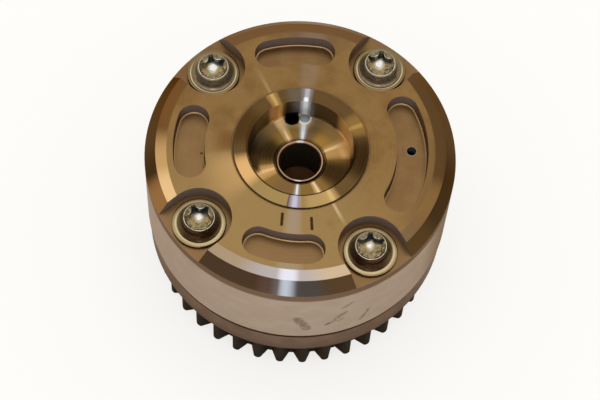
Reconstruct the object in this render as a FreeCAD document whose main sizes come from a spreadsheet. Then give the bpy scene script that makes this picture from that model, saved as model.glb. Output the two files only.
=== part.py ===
"""Vane-type cam phaser: a chain sprocket, a stator with four oil chambers, a front cover and a
vaned rotor that turns inside them and is clamped to the camshaft.

The part stands on the rear face of the sprocket, at height zero. The axis is +Z and runs towards
the front cover. The wide vane, with its lock pin, lies near +X. At rest the rotor is parked
against its stop and the lock pin is drawn back into the rotor.
"""
import FreeCAD, Part
import math
import os
import re

import Sketcher

V = FreeCAD.Vector
doc = FreeCAD.newDocument("cam_phaser")
sheet = doc.addObject("Spreadsheet::Sheet", "Sizes")

# Driving dimensions in millimetres and degrees. Angles run from +X towards +Y.
SIZES = {
    # The stack along the axis
    "tooth_height": "14.4",
    "plate_thickness": "10.6",
    "stator_height": "23.8",
    "cover_thickness": "7.0",
    "body_radius": "42.0",
    "edge_break": "0.2",
    # The four bolts: three gaps of one spacing, and a wider gap across +X
    "bolt_inset": "7.8",
    "bolt_angle": "54.0",
    "bolt_spacing": "84.0",
    "thread_radius": "3.0",
    "bolt_clearance": "0.3",
    "thread_fit": "0.02",
    "bolt_length": "35.0",
    "tapped_depth": "10.0",
    "flange_radius": "7.2",
    "flange_height": "1.1",
    "flange_rim": "5.95",
    "head_radius": "4.6",
    "head_height": "4.3",
    "head_neck": "2.5",
    "head_round": "0.4",
    "dish_radius": "3.45",
    "dish_depth": "0.5",
    "socket_depth": "2.7",
    "socket_lobe_radius": "0.65",
    "socket_flute_radius": "1.61",
    "socket_joint_radius": "3.5",
    "socket_joint_angle": "10.4",
    # Front cover
    "face_inset": "6.0",
    "bevel_inset": "3.0",
    "bevel_drop": "0.4",
    "rim_height": "3.0",
    "slot_floor": "3.0",
    "slot_half_width": "8.7",
    "pocket_floor": "3.0",
    "pocket_inset": "7.7",
    "pocket_width": "8.5",
    "pocket_half_angle": "13.05",
    "wide_pocket_half_angle": "26.2",
    "pocket_turn": "0.7",
    "pocket_fillet": "0.6",
    "cover_hole_chamfer": "0.6",
    "vent_radius": "1.3",
    # Rotor
    "hub_radius": "21.5",
    "rotor_side_gap": "0.03",
    "vane_tip_gap": "0.1",
    "vane_half_angle": "6.0",
    "travel": "30.0",
    "stop_gap": "0.05",
    "nose_radius": "18.1",
    "nose_gap": "0.05",
    "nose_rise": "0.5",
    "ring_radius": "17.95",
    "ring_fall": "0.2",
    "recess_radius": "14.2",
    "recess_lip": "0.6",
    "recess_depth": "8.3",
    "recess_corner": "0.5",
    "centre_bore": "6.45",
    "centre_chamfer": "0.8",
    "web_thickness": "14.3",
    "seat_radius": "16.0",
    "cam_dowel_radius": "1.9",
    "cam_dowel_circle": "13.3",
    "cam_dowel_angle": "103.0",
    "cam_dowel_break": "1.5",
    "dimple_radius": "1.4",
    "dimple_angle": "88.0",
    "dimple_depth": "1.2",
    "oil_radius": "1.5",
    "oil_offset": "1.5",
    "oil_reach": "1.5",
    "oil_groove_depth": "1.5",
    "oil_level": "3.5",
    # Stator
    "stator_wall": "5.0",
    "chamber_half_angle": "22.0",
    "chamber_corner": "0.8",
    "vane_corner": "1.0",
    "shoe_gap": "0.1",
    # Lock pin, its bush in the sprocket and its spring
    "pin_inset": "11.9",
    "pin_angle": "6.3",
    "vane_ahead": "22.0",
    "vane_behind": "14.0",
    "pin_radius": "4.0",
    "pin_fit": "0.04",
    "pin_drawn_gap": "0.1",
    "pin_travel": "4.0",
    "pin_nose_chamfer": "0.6",
    "collar_radius": "4.8",
    "collar_height": "3.0",
    "collar_spare": "0.3",
    "guide_length": "8.0",
    "pin_hollow": "2.9",
    "pin_end_wall": "3.0",
    "bush_radius": "5.6",
    "bush_height": "5.0",
    "bush_clearance": "0.15",
    "bush_feed_radius": "2.0",
    "bush_feed_depth": "2.0",
    "press_gap": "0.01",
    "cap_thickness": "3.0",
    "cap_drop": "0.1",
    "cap_boss_radius": "2.0",
    "cap_boss_height": "3.0",
    "spring_radius": "2.45",
    "spring_wire": "0.3",
    "spring_turns": "7",
    # Sprung seals in the vane tips and the stator's shoes
    "seal_width": "2.0",
    "seal_height": "3.2",
    "seal_side_gap": "0.03",
    "seal_end_gap": "0.05",
    "seal_tip_gap": "0.03",
    "seal_tip_chamfer": "0.3",
    "wide_seal_lead": "15.5",
    "leaf_sag": "0.6",
    "leaf_thickness": "0.2",
    "leaf_half_length": "10.0",
    "leaf_half_width": "0.8",
    "leaf_gap": "0.02",
    # Sleeve in the centre bore
    "sleeve_wall": "0.75",
    "sleeve_drop": "0.05",
    "sleeve_round": "0.2",
    # Dowel pin that sets the sprocket, stator and cover in line
    "dowel_radius": "2.0",
    "dowel_inset": "9.0",
    "dowel_angle": "41.0",
    "dowel_bite_front": "2.0",
    "dowel_bite_rear": "6.0",
    "dowel_fit": "0.02",
    "dowel_chamfer": "0.4",
    # Sprocket
    "tooth_count": "38",
    "tooth_angle": "2.0",
    "root_inset": "5.4",
    "tip_inset": "2.3",
    "crown_radius": "1.6",
    "crown_half_width": "0.95",
    "flank_angle": "27.0",
    "tooth_sink": "0.6",
    "plate_inset": "0.4",
    "plate_edge": "0.8",
    "journal_gap": "0.03",
    "journal_chamfer": "0.8",
    "boss_radius": "20.0",
    "rear_recess_radius": "31.0",
    "rear_recess_depth": "5.0",
}

for row, (alias, text) in enumerate(SIZES.items(), start=1):
    sheet.set(f"A{row}", alias)
    sheet.set(f"B{row}", text)
    sheet.setAlias(f"B{row}", alias)
doc.recompute()

# Levels and radii that several pieces share, as formulas of the driving dimensions
BOLT_CIRCLE = "(body_radius - bolt_inset)"
PIN_CIRCLE = "(body_radius - pin_inset)"
DOWEL_CIRCLE = "(body_radius - dowel_inset)"
CHAMBER_RADIUS = "(body_radius - stator_wall)"
ROOT_RADIUS = "(body_radius - root_inset)"
TIP_RADIUS = "(body_radius - tip_inset)"
PLATE_FACE = "(tooth_height + plate_thickness)"
PARTING = f"({PLATE_FACE} + stator_height)"
FRONT = f"({PARTING} + cover_thickness)"
ROTOR_REAR = f"({PLATE_FACE} + rotor_side_gap)"
ROTOR_FRONT = f"({PARTING} - rotor_side_gap)"
NOSE_TOP = f"({FRONT} + nose_rise)"
RECESS_FLOOR = f"({NOSE_TOP} - recess_depth)"
SEAT_FACE = f"({RECESS_FLOOR} - web_thickness)"
SLOT_LEVEL = f"({PARTING} + slot_floor)"
BOLT_HOLE = "(thread_radius + bolt_clearance)"
BOLT_RUN = "(bolt_spacing * 3)"
CHAMBER_MIDDLE = "(bolt_angle + bolt_spacing / 2)"
CHAMBER_RUN = "(bolt_spacing * 2)"
VANE_MIDDLE = f"({CHAMBER_MIDDLE} + travel / 2)"
VANE_RADIUS = f"({CHAMBER_RADIUS} - vane_tip_gap)"
WIDE_HALF = "((vane_ahead + vane_behind) / 2)"
WIDE_MIDDLE = "(pin_angle + (vane_ahead - vane_behind) / 2)"
WIDE_SEAL = "(pin_angle + wide_seal_lead)"
VANE_SEAL_TIP = f"({CHAMBER_RADIUS} - seal_tip_gap)"
VANE_SEAL_BACK = f"({VANE_SEAL_TIP} - seal_height)"
SHOE_SEAL_TIP = "(hub_radius + seal_tip_gap)"
SHOE_SEAL_BACK = f"({SHOE_SEAL_TIP} + seal_height)"
LEAF_ROOM = "(leaf_sag + leaf_thickness + leaf_gap)"
SEAL_SLOT_HALF = "(seal_width / 2 + seal_side_gap)"
CHAMBER_CENTRE_LEVEL = f"({PLATE_FACE} + stator_height / 2)"
PIN_GUIDE = "(pin_radius + pin_fit)"
COLLAR_BORE = "(collar_radius + pin_fit)"
PIN_SHOULDER = f"({ROTOR_REAR} + guide_length)"
PIN_END = f"({ROTOR_REAR} + pin_drawn_gap)"
COLLAR_REAR = f"({PIN_SHOULDER} + pin_travel + collar_spare)"
SPRING_FLOOR = f"({PIN_END} + pin_end_wall)"
CAP_FRONT = f"({ROTOR_FRONT} - cap_drop)"
CAP_REAR = f"({CAP_FRONT} - cap_thickness)"
DOWEL_REAR = f"({PLATE_FACE} - dowel_bite_rear)"
DOWEL_FRONT = f"({PARTING} + dowel_bite_front)"
DOWEL_HOLE = "(dowel_radius + dowel_fit)"


def formula(text):
    """The text as an expression of the sheet's named cells."""
    return re.sub(r"[a-z_]+", lambda word: "Sizes." + word[0] if word[0] in SIZES else word[0], text)


def number(text):
    """What a formula gives at the present sizes."""
    return float(sheet.evalExpression(formula(text)))


def bind(thing, name, text):
    thing.setExpression(name, formula(text))


def origin_item(body, role):
    return next(item for item in body.Origin.OriginFeatures if item.Role == role)


def new_body(name, turn="0"):
    """A body whose own +X direction is turned about the axis by a formula."""
    body = doc.addObject("PartDesign::Body", name)
    body.Placement = FreeCAD.Placement(V(0, 0, 0), FreeCAD.Rotation(V(0, 0, 1), number(turn)))
    bind(body, "Placement.Rotation.Angle", turn)
    return body


def new_sketch(body, name, plane="XY_Plane", level=None, turn=None, across=None):
    """A sketch on one of the body's own planes, moved off it by level and along it by across.

    The turn is about the body's Z, which is the up direction of a sketch on an upright plane.
    """
    sketch = body.newObject("Sketcher::SketchObject", name)
    sketch.AttachmentSupport = [(origin_item(body, plane), "")]
    sketch.MapMode = "FlatFace"
    if turn:
        upright = V(0, 0, 1) if plane == "XY_Plane" else V(0, 1, 0)
        sketch.AttachmentOffset = FreeCAD.Placement(V(0, 0, 0), FreeCAD.Rotation(upright, number(turn)))
        bind(sketch, "AttachmentOffset.Rotation.Angle", turn)
    if level:
        bind(sketch, "AttachmentOffset.Base.z", level)
    if across:
        bind(sketch, "AttachmentOffset.Base.x", across)
    return sketch


def measure(sketch, kind, item, point, text):
    """Holds a point of the sketch at a formula's distance from the sketch's origin."""
    place = sketch.addConstraint(Sketcher.Constraint(kind, -1, 1, item, point, number(text)))
    bind(sketch, f"Constraints[{place}]", text)


def set_radius(sketch, item, text):
    place = sketch.addConstraint(Sketcher.Constraint("Radius", item, number(text)))
    bind(sketch, f"Constraints[{place}]", text)


def join(sketch, item, point, other, other_point):
    sketch.addConstraint(Sketcher.Constraint("Coincident", item, point, other, other_point))


def add_line(sketch, start, end):
    return sketch.addGeometry(Part.LineSegment(V(*start, 0), V(*end, 0)), False)


def add_arc(sketch, centre, radius, start_angle, end_angle):
    """An arc that runs anticlockwise between two angles in degrees."""
    ring = Part.Circle(V(*centre, 0), V(0, 0, 1), radius)
    arc = Part.ArcOfCircle(ring, math.radians(start_angle), math.radians(end_angle))
    return sketch.addGeometry(arc, False)


def draw_polygon(sketch, corners):
    """A closed outline of straight sides through corners given as pairs of formulas."""
    places = [(number(across), number(up)) for across, up in corners]
    sides = [add_line(sketch, start, end) for start, end in zip(places, places[1:] + places[:1])]
    for side, following in zip(sides, sides[1:] + sides[:1]):
        join(sketch, side, 2, following, 1)
    for side, (across, up) in zip(sides, corners):
        measure(sketch, "DistanceX", side, 1, across)
        measure(sketch, "DistanceY", side, 1, up)


def draw_circle(sketch, across, up, radius):
    ring = Part.Circle(V(number(across), number(up), 0), V(0, 0, 1), number(radius))
    item = sketch.addGeometry(ring, False)
    measure(sketch, "DistanceX", item, 3, across)
    measure(sketch, "DistanceY", item, 3, up)
    set_radius(sketch, item, radius)


def draw_centred_arc(sketch, radius, half_angle):
    """An arc about the axis, the same angle either side of the sketch's X direction."""
    half = number(half_angle)
    item = add_arc(sketch, (0, 0), number(radius), -half, half)
    join(sketch, item, 3, -1, 1)
    set_radius(sketch, item, radius)
    measure(sketch, "DistanceY", item, 1, f"-({radius}) * sin({half_angle})")
    measure(sketch, "DistanceY", item, 2, f"({radius}) * sin({half_angle})")
    return item


def draw_sector(sketch, inner, outer, half_angle):
    """A sector of a ring with radial ends."""
    half = math.radians(number(half_angle))
    rim = draw_centred_arc(sketch, outer, half_angle)
    root = draw_centred_arc(sketch, inner, half_angle)
    for sign, point in ((1, 2), (-1, 1)):
        ends = [(number(r) * math.cos(half), sign * number(r) * math.sin(half)) for r in (outer, inner)]
        side = add_line(sketch, *ends)
        join(sketch, side, 1, rim, point)
        join(sketch, side, 2, root, point)


def draw_kidney(sketch, inner, outer, half_angle):
    """A slot that follows the ring, with round ends centred at the half angle."""
    half = number(half_angle)
    middle = f"(({inner}) + ({outer})) / 2"
    end_radius = (number(outer) - number(inner)) / 2
    rim = draw_centred_arc(sketch, outer, half_angle)
    root = draw_centred_arc(sketch, inner, half_angle)
    for sign, point in ((1, 2), (-1, 1)):
        turn = math.radians(sign * half)
        centre = (number(middle) * math.cos(turn), number(middle) * math.sin(turn))
        first = half if sign > 0 else 180 - half
        end = add_arc(sketch, centre, end_radius, first, first + 180)
        join(sketch, end, 1, rim if sign > 0 else root, point)
        join(sketch, end, 2, root if sign > 0 else rim, point)
        measure(sketch, "DistanceY", end, 3, f"{sign} * {middle} * sin({half_angle})")


def draw_open_slot(sketch, centre, half_width, mouth):
    """A slot with a round inner end that opens outwards."""
    x, w, far = number(centre), number(half_width), number(mouth)
    end = add_arc(sketch, (x, 0), w, 90, 270)
    measure(sketch, "DistanceX", end, 3, centre)
    measure(sketch, "DistanceY", end, 3, "0")
    set_radius(sketch, end, half_width)
    measure(sketch, "DistanceX", end, 1, centre)
    measure(sketch, "DistanceX", end, 2, centre)
    lower = add_line(sketch, (x, -w), (far, -w))
    across = add_line(sketch, (far, -w), (far, w))
    upper = add_line(sketch, (far, w), (x, w))
    join(sketch, end, 2, lower, 1)
    join(sketch, lower, 2, across, 1)
    join(sketch, across, 2, upper, 1)
    join(sketch, upper, 2, end, 1)
    measure(sketch, "DistanceX", across, 1, mouth)
    measure(sketch, "DistanceY", across, 1, f"-({half_width})")
    measure(sketch, "DistanceX", across, 2, mouth)
    measure(sketch, "DistanceY", across, 2, half_width)


def pad(body, name, sketch, length):
    feature = body.newObject("PartDesign::Pad", name)
    feature.Profile = sketch
    bind(feature, "Length", length)
    doc.recompute()
    return feature


def pocket(body, name, sketch, length, reverse=False):
    """Cuts the sketch's outline against its facing direction, and checks that it took material."""
    before = body.Shape.Volume
    feature = body.newObject("PartDesign::Pocket", name)
    feature.Profile = sketch
    feature.Reversed = reverse
    bind(feature, "Length", length)
    doc.recompute()
    if not body.Shape.Volume < before:
        raise RuntimeError(f"{body.Name}: {name} cuts nothing")
    return feature


def revolve(body, name, corners, across=None):
    """Turns an outline of radius and height round the axis, or round a line parallel to it."""
    sketch = new_sketch(body, name + "_outline", "XZ_Plane", across=across)
    draw_polygon(sketch, corners)
    feature = body.newObject("PartDesign::Revolution", name)
    feature.Profile = sketch
    feature.ReferenceAxis = (sketch, ["V_Axis"])
    feature.Angle = 360
    doc.recompute()
    return feature


def repeat(body, name, features, run, count):
    """Copies features round the axis so that the copies spread over the run."""
    pattern = body.newObject("PartDesign::PolarPattern", name)
    pattern.Originals = features
    pattern.Axis = (origin_item(body, "Z_Axis"), [""])
    bind(pattern, "Angle", run)
    bind(pattern, "Occurrences", count)
    body.Tip = pattern
    doc.recompute()
    return pattern


def upright_edges(shape, radius):
    """The names of the straight edges along Z that lie at a radius from the axis."""
    names = []
    for place, edge in enumerate(shape.Edges, start=1):
        ends = [vertex.Point for vertex in edge.Vertexes]
        if len(ends) != 2 or math.hypot(ends[0].x - ends[1].x, ends[0].y - ends[1].y) > 1e-6:
            continue
        if abs(math.hypot(ends[0].x, ends[0].y) - radius) < 1e-4:
            names.append(f"Edge{place}")
    return names


def floor_edges(shape, level, within):
    """The names of the edges that lie at a level and nearer the axis than a radius."""
    names = []
    for place, edge in enumerate(shape.Edges, start=1):
        middle = edge.valueAt((edge.FirstParameter + edge.LastParameter) / 2)
        heights = [middle.z - level] + [vertex.Point.z - level for vertex in edge.Vertexes]
        if max(map(abs, heights)) < 1e-4 and math.hypot(middle.x, middle.y) < within:
            names.append(f"Edge{place}")
    return names


def dress_edges(body, kind, name, edges, size):
    """Rounds or chamfers edges of the body."""
    base = body.Tip
    feature = body.newObject(f"PartDesign::{kind}", name)
    feature.Base = (base, edges)
    bind(feature, "Radius" if kind == "Fillet" else "Size", size)
    doc.recompute()
    return feature


def drill_down(body, name, across, turn, radius, top, depth):
    """A hole along Z from a level downwards, at a radius and an angle."""
    sketch = new_sketch(body, name + "_circle", level=top, turn=turn)
    draw_circle(sketch, across, "0", radius)
    return pocket(body, name, sketch, depth)


def front_cover():
    """Sintered disc with a turned face, shallow pockets over the chambers and open bolt slots."""
    body = new_body("front_cover")
    hole = "(nose_radius + nose_gap)"
    revolve(body, "disc", [
        (hole, PARTING),
        ("body_radius - edge_break", PARTING),
        ("body_radius", f"{PARTING} + edge_break"),
        ("body_radius", f"{PARTING} + rim_height"),
        ("body_radius - bevel_inset", f"{FRONT} - bevel_drop"),
        ("body_radius - face_inset", FRONT),
        (f"{hole} + cover_hole_chamfer", FRONT),
        (hole, f"{FRONT} - cover_hole_chamfer"),
    ])
    pocket_depth = "cover_thickness - pocket_floor"
    pocket_rim = "(body_radius - pocket_inset)"
    pocket_root = f"({pocket_rim} - pocket_width)"
    sketch = new_sketch(body, "pocket_outline", level=FRONT, turn=f"{CHAMBER_MIDDLE} + pocket_turn")
    draw_kidney(sketch, pocket_root, pocket_rim, "pocket_half_angle")
    recess = pocket(body, "chamber_pocket", sketch, pocket_depth)
    repeat(body, "chamber_pockets", [recess], CHAMBER_RUN, "3")
    sketch = new_sketch(body, "wide_pocket_outline", level=FRONT, turn="pocket_turn")
    draw_kidney(sketch, pocket_root, pocket_rim, "wide_pocket_half_angle")
    pocket(body, "wide_pocket", sketch, pocket_depth)
    rounded = floor_edges(body.Shape, number(f"{PARTING} + pocket_floor"), number(pocket_rim) + 1)
    dress_edges(body, "Fillet", "pocket_rounding", rounded, "pocket_fillet")
    sketch = new_sketch(body, "slot_outline", level=FRONT, turn="bolt_angle")
    draw_open_slot(sketch, BOLT_CIRCLE, "slot_half_width", "body_radius + slot_half_width")
    slot = pocket(body, "bolt_slot", sketch, "cover_thickness - slot_floor")
    repeat(body, "bolt_slots", [slot], BOLT_RUN, "4")
    hole = drill_down(body, "bolt_hole", BOLT_CIRCLE, "bolt_angle", BOLT_HOLE, SLOT_LEVEL, "slot_floor")
    repeat(body, "bolt_holes", [hole], BOLT_RUN, "4")
    drill_down(body, "vent", PIN_CIRCLE, "pin_angle", "vent_radius", FRONT, "cover_thickness")
    drill_down(body, "dowel_hole", DOWEL_CIRCLE, "dowel_angle", DOWEL_HOLE, DOWEL_FRONT,
               "dowel_bite_front")
    return body


def seal_slot(body, name, start, end, turn):
    """A cut for a seal strip over the whole height, between two radii."""
    sketch = new_sketch(body, name + "_outline", level=PARTING, turn=turn)
    draw_polygon(sketch, [
        (start, f"-{SEAL_SLOT_HALF}"),
        (end, f"-{SEAL_SLOT_HALF}"),
        (end, SEAL_SLOT_HALF),
        (start, SEAL_SLOT_HALF),
    ])
    return pocket(body, name, sketch, "stator_height")


def stator_housing():
    """Ring with four inward shoes, three like oil chambers and one wider one."""
    body = new_body("stator_housing")
    inner = "(hub_radius + shoe_gap)"
    revolve(body, "ring", [
        (inner, PLATE_FACE),
        ("body_radius - edge_break", PLATE_FACE),
        ("body_radius", f"{PLATE_FACE} + edge_break"),
        ("body_radius", f"{PARTING} - edge_break"),
        ("body_radius - edge_break", PARTING),
        (inner, PARTING),
    ])
    overlap = f"{inner} - 1"
    sketch = new_sketch(body, "chamber_outline", level=PARTING, turn=CHAMBER_MIDDLE)
    draw_sector(sketch, overlap, CHAMBER_RADIUS, "chamber_half_angle")
    chamber = pocket(body, "chamber", sketch, "stator_height")
    repeat(body, "chambers", [chamber], CHAMBER_RUN, "3")
    sketch = new_sketch(body, "wide_chamber_outline", level=PARTING, turn=f"{WIDE_MIDDLE} - travel / 2")
    draw_sector(sketch, overlap, CHAMBER_RADIUS, f"{WIDE_HALF} + travel / 2 + stop_gap")
    pocket(body, "wide_chamber", sketch, "stator_height")
    corners = upright_edges(body.Shape, number(CHAMBER_RADIUS))
    dress_edges(body, "Fillet", "chamber_rounding", corners, "chamber_corner")
    slot = seal_slot(body, "shoe_seal_slot", "hub_radius", f"{SHOE_SEAL_BACK} + {LEAF_ROOM}", "bolt_angle")
    repeat(body, "shoe_seal_slots", [slot], BOLT_RUN, "4")
    hole = drill_down(body, "bolt_hole", BOLT_CIRCLE, "bolt_angle", BOLT_HOLE, PARTING, "stator_height")
    repeat(body, "bolt_holes", [hole], BOLT_RUN, "4")
    drill_down(body, "dowel_hole", DOWEL_CIRCLE, "dowel_angle", DOWEL_HOLE, PARTING, "stator_height")
    return body


def oil_ways(body, name, turn, reach):
    """A radial drilling on one side of a vane, and a groove in the rear face on its other side."""
    sketch = new_sketch(body, name + "_drill_circle", "YZ_Plane", turn=f"{turn} + ({reach})")
    draw_circle(sketch, "0", f"{SEAT_FACE} - oil_level", "oil_radius")
    drilling = pocket(body, name + "_drilling", sketch, "hub_radius + oil_reach", reverse=True)
    sketch = new_sketch(body, name + "_groove_outline", level=ROTOR_REAR, turn=f"{turn} - ({reach})")
    draw_polygon(sketch, [
        ("centre_bore", "-oil_radius"),
        ("hub_radius + oil_reach", "-oil_radius"),
        ("hub_radius + oil_reach", "oil_radius"),
        ("centre_bore", "oil_radius"),
    ])
    groove = pocket(body, name + "_groove", sketch, "oil_groove_depth", reverse=True)
    return [drilling, groove]


def rotor():
    """Hub with three narrow vanes and a wide one, a front nose in the cover and a camshaft seat."""
    body = new_body("rotor")
    revolve(body, "hub", [
        ("seat_radius", ROTOR_REAR),
        ("hub_radius", ROTOR_REAR),
        ("hub_radius", ROTOR_FRONT),
        ("nose_radius", ROTOR_FRONT),
        ("nose_radius", f"{NOSE_TOP} - ring_fall - (nose_radius - ring_radius)"),
        ("ring_radius", f"{NOSE_TOP} - ring_fall"),
        ("recess_radius + recess_lip", NOSE_TOP),
        ("recess_radius", f"{NOSE_TOP} - recess_lip"),
        ("recess_radius", f"{RECESS_FLOOR} + recess_corner"),
        ("recess_radius - recess_corner", RECESS_FLOOR),
        ("centre_bore + centre_chamfer", RECESS_FLOOR),
        ("centre_bore", f"{RECESS_FLOOR} - centre_chamfer"),
        ("centre_bore", SEAT_FACE),
        ("seat_radius", SEAT_FACE),
    ])
    height = "stator_height - 2 * rotor_side_gap"
    root = "(hub_radius - 1)"
    sketch = new_sketch(body, "vane_outline", level=ROTOR_REAR, turn=VANE_MIDDLE)
    draw_sector(sketch, root, VANE_RADIUS, "vane_half_angle")
    vane = pad(body, "vane", sketch, height)
    repeat(body, "vanes", [vane], CHAMBER_RUN, "3")
    sketch = new_sketch(body, "wide_vane_outline", level=ROTOR_REAR, turn=WIDE_MIDDLE)
    draw_sector(sketch, root, VANE_RADIUS, WIDE_HALF)
    pad(body, "wide_vane", sketch, height)
    corners = upright_edges(body.Shape, number(VANE_RADIUS))
    dress_edges(body, "Chamfer", "vane_corners", corners, "vane_corner")
    slot_floor = f"{VANE_SEAL_BACK} - {LEAF_ROOM}"
    slot = seal_slot(body, "vane_seal_slot", slot_floor, CHAMBER_RADIUS, VANE_MIDDLE)
    repeat(body, "vane_seal_slots", [slot], CHAMBER_RUN, "3")
    seal_slot(body, "wide_vane_seal_slot", slot_floor, CHAMBER_RADIUS, WIDE_SEAL)
    ways = oil_ways(body, "vane", VANE_MIDDLE, "vane_half_angle + oil_offset")
    repeat(body, "vane_oil_ways", ways, CHAMBER_RUN, "3")
    oil_ways(body, "wide_vane", WIDE_MIDDLE, f"{WIDE_HALF} + oil_offset")
    pin_place = (PIN_CIRCLE, "pin_angle")
    drill_down(body, "pin_guide", *pin_place, PIN_GUIDE, ROTOR_FRONT, height)
    collar_room = f"{ROTOR_FRONT} - {PIN_SHOULDER}"
    drill_down(body, "collar_bore", *pin_place, COLLAR_BORE, ROTOR_FRONT, collar_room)
    dowel_top = f"({RECESS_FLOOR} + cam_dowel_break)"
    dowel_place = ("cam_dowel_circle", "cam_dowel_angle")
    drill_down(body, "cam_dowel_hole", *dowel_place, "cam_dowel_radius", dowel_top,
               f"{dowel_top} - {SEAT_FACE}")
    drill_down(body, "dimple", "cam_dowel_circle", "dimple_angle", "dimple_radius",
               f"{RECESS_FLOOR} + dimple_depth / 2", "dimple_depth")
    return body


def draw_tooth(sketch):
    """A silent-chain tooth along X: straight flanks, rounded tip, and a foot sunk into the rim."""
    tip, crown, land = number(TIP_RADIUS), number("crown_radius"), number("crown_half_width")
    rise = number("tan(flank_angle)")
    foot = number(f"{ROOT_RADIUS} - tooth_sink")
    shoulder = tip - crown + math.sqrt(crown**2 - land**2)
    half = math.degrees(math.asin(land / crown))
    arc = add_arc(sketch, (tip - crown, 0), crown, -half, half)
    measure(sketch, "DistanceX", arc, 3, f"{TIP_RADIUS} - crown_radius")
    measure(sketch, "DistanceY", arc, 3, "0")
    set_radius(sketch, arc, "crown_radius")
    measure(sketch, "DistanceY", arc, 1, "-crown_half_width")
    measure(sketch, "DistanceY", arc, 2, "crown_half_width")
    wide = land + (shoulder - foot) * rise
    upper = add_line(sketch, (shoulder, land), (foot, wide))
    base = add_line(sketch, (foot, wide), (foot, -wide))
    lower = add_line(sketch, (foot, -wide), (shoulder, -land))
    join(sketch, arc, 2, upper, 1)
    join(sketch, upper, 2, base, 1)
    join(sketch, base, 2, lower, 1)
    join(sketch, lower, 2, arc, 1)
    flank_run = f"({TIP_RADIUS} - crown_radius + sqrt(crown_radius ^ 2 - crown_half_width ^ 2)"
    flank_run += f" - {ROOT_RADIUS} + tooth_sink)"
    foot_half = f"(crown_half_width + {flank_run} * tan(flank_angle))"
    measure(sketch, "DistanceX", base, 1, f"{ROOT_RADIUS} - tooth_sink")
    measure(sketch, "DistanceY", base, 1, foot_half)
    measure(sketch, "DistanceX", base, 2, f"{ROOT_RADIUS} - tooth_sink")
    measure(sketch, "DistanceY", base, 2, f"-{foot_half}")


def sprocket():
    """Sintered rear plate that closes the stator, with the chain teeth and the camshaft journal."""
    body = new_body("sprocket")
    journal = "(seat_radius + journal_gap)"
    rim = "(body_radius - plate_inset)"
    revolve(body, "blank", [
        (journal, "journal_chamfer"),
        (f"{journal} + journal_chamfer", "0"),
        ("boss_radius", "0"),
        ("boss_radius", "rear_recess_depth"),
        ("rear_recess_radius", "rear_recess_depth"),
        ("rear_recess_radius", "0"),
        (ROOT_RADIUS, "0"),
        (ROOT_RADIUS, "tooth_height"),
        (f"{rim} - plate_edge", "tooth_height"),
        (rim, "tooth_height + plate_edge"),
        (rim, PLATE_FACE),
        (journal, PLATE_FACE),
    ])
    sketch = new_sketch(body, "tooth_outline", turn="tooth_angle")
    draw_tooth(sketch)
    tooth = pad(body, "tooth", sketch, "tooth_height")
    repeat(body, "teeth", [tooth], "360", "tooth_count")
    hole = drill_down(body, "tapped_hole", BOLT_CIRCLE, "bolt_angle", "thread_radius + thread_fit",
                      PLATE_FACE, "tapped_depth")
    repeat(body, "tapped_holes", [hole], BOLT_RUN, "4")
    pin_place = (PIN_CIRCLE, "pin_angle")
    drill_down(body, "bush_seat", *pin_place, "bush_radius + press_gap", PLATE_FACE, "bush_height")
    drill_down(body, "bush_feed", *pin_place, "bush_feed_radius", f"{PLATE_FACE} - bush_height",
               "bush_feed_depth")
    drill_down(body, "dowel_hole", DOWEL_CIRCLE, "dowel_angle", DOWEL_HOLE, PLATE_FACE, "dowel_bite_rear")
    return body


def draw_six_lobe(sketch, centre):
    """A six-lobe driver socket: lobe and flute arcs meet at twelve joints on one circle."""
    turns = []
    for lobe in range(0, 360, 60):
        turns += [f"({lobe} - socket_joint_angle)", f"({lobe} + socket_joint_angle)"]
    places = []
    for turn in turns:
        across = number(f"{centre} + socket_joint_radius * cos({turn})")
        places.append(V(across, number(f"socket_joint_radius * sin({turn})"), 0))
    axis = V(number(centre), 0, 0)
    arcs = []
    for start, end in zip(places, places[1:] + places[:1]):
        is_lobe = len(arcs) % 2 == 0
        radius = number("socket_lobe_radius" if is_lobe else "socket_flute_radius")
        middle = (start + end) * 0.5
        outwards = (middle - axis).normalize()
        rise = radius - math.sqrt(radius**2 - (start.distanceToPoint(end) / 2) ** 2)
        if is_lobe:
            arc = Part.Arc(start, middle + outwards * rise, end)
        else:
            arc = Part.Arc(end, middle - outwards * rise, start)
        arcs.append(sketch.addGeometry(arc, False))
    # Every arc runs anticlockwise, so a flute's first point is its far one on the way round.
    near = [1, 2] * 6
    for place, arc in enumerate(arcs):
        following = (place + 1) % len(arcs)
        join(sketch, arc, 3 - near[place], arcs[following], near[following])
    for place, arc in enumerate(arcs):
        across = f"{centre} + socket_joint_radius * cos({turns[place]})"
        measure(sketch, "DistanceX", arc, near[place], across)
        measure(sketch, "DistanceY", arc, near[place], f"socket_joint_radius * sin({turns[place]})")
        set_radius(sketch, arc, "socket_flute_radius" if place % 2 else "socket_lobe_radius")


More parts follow.
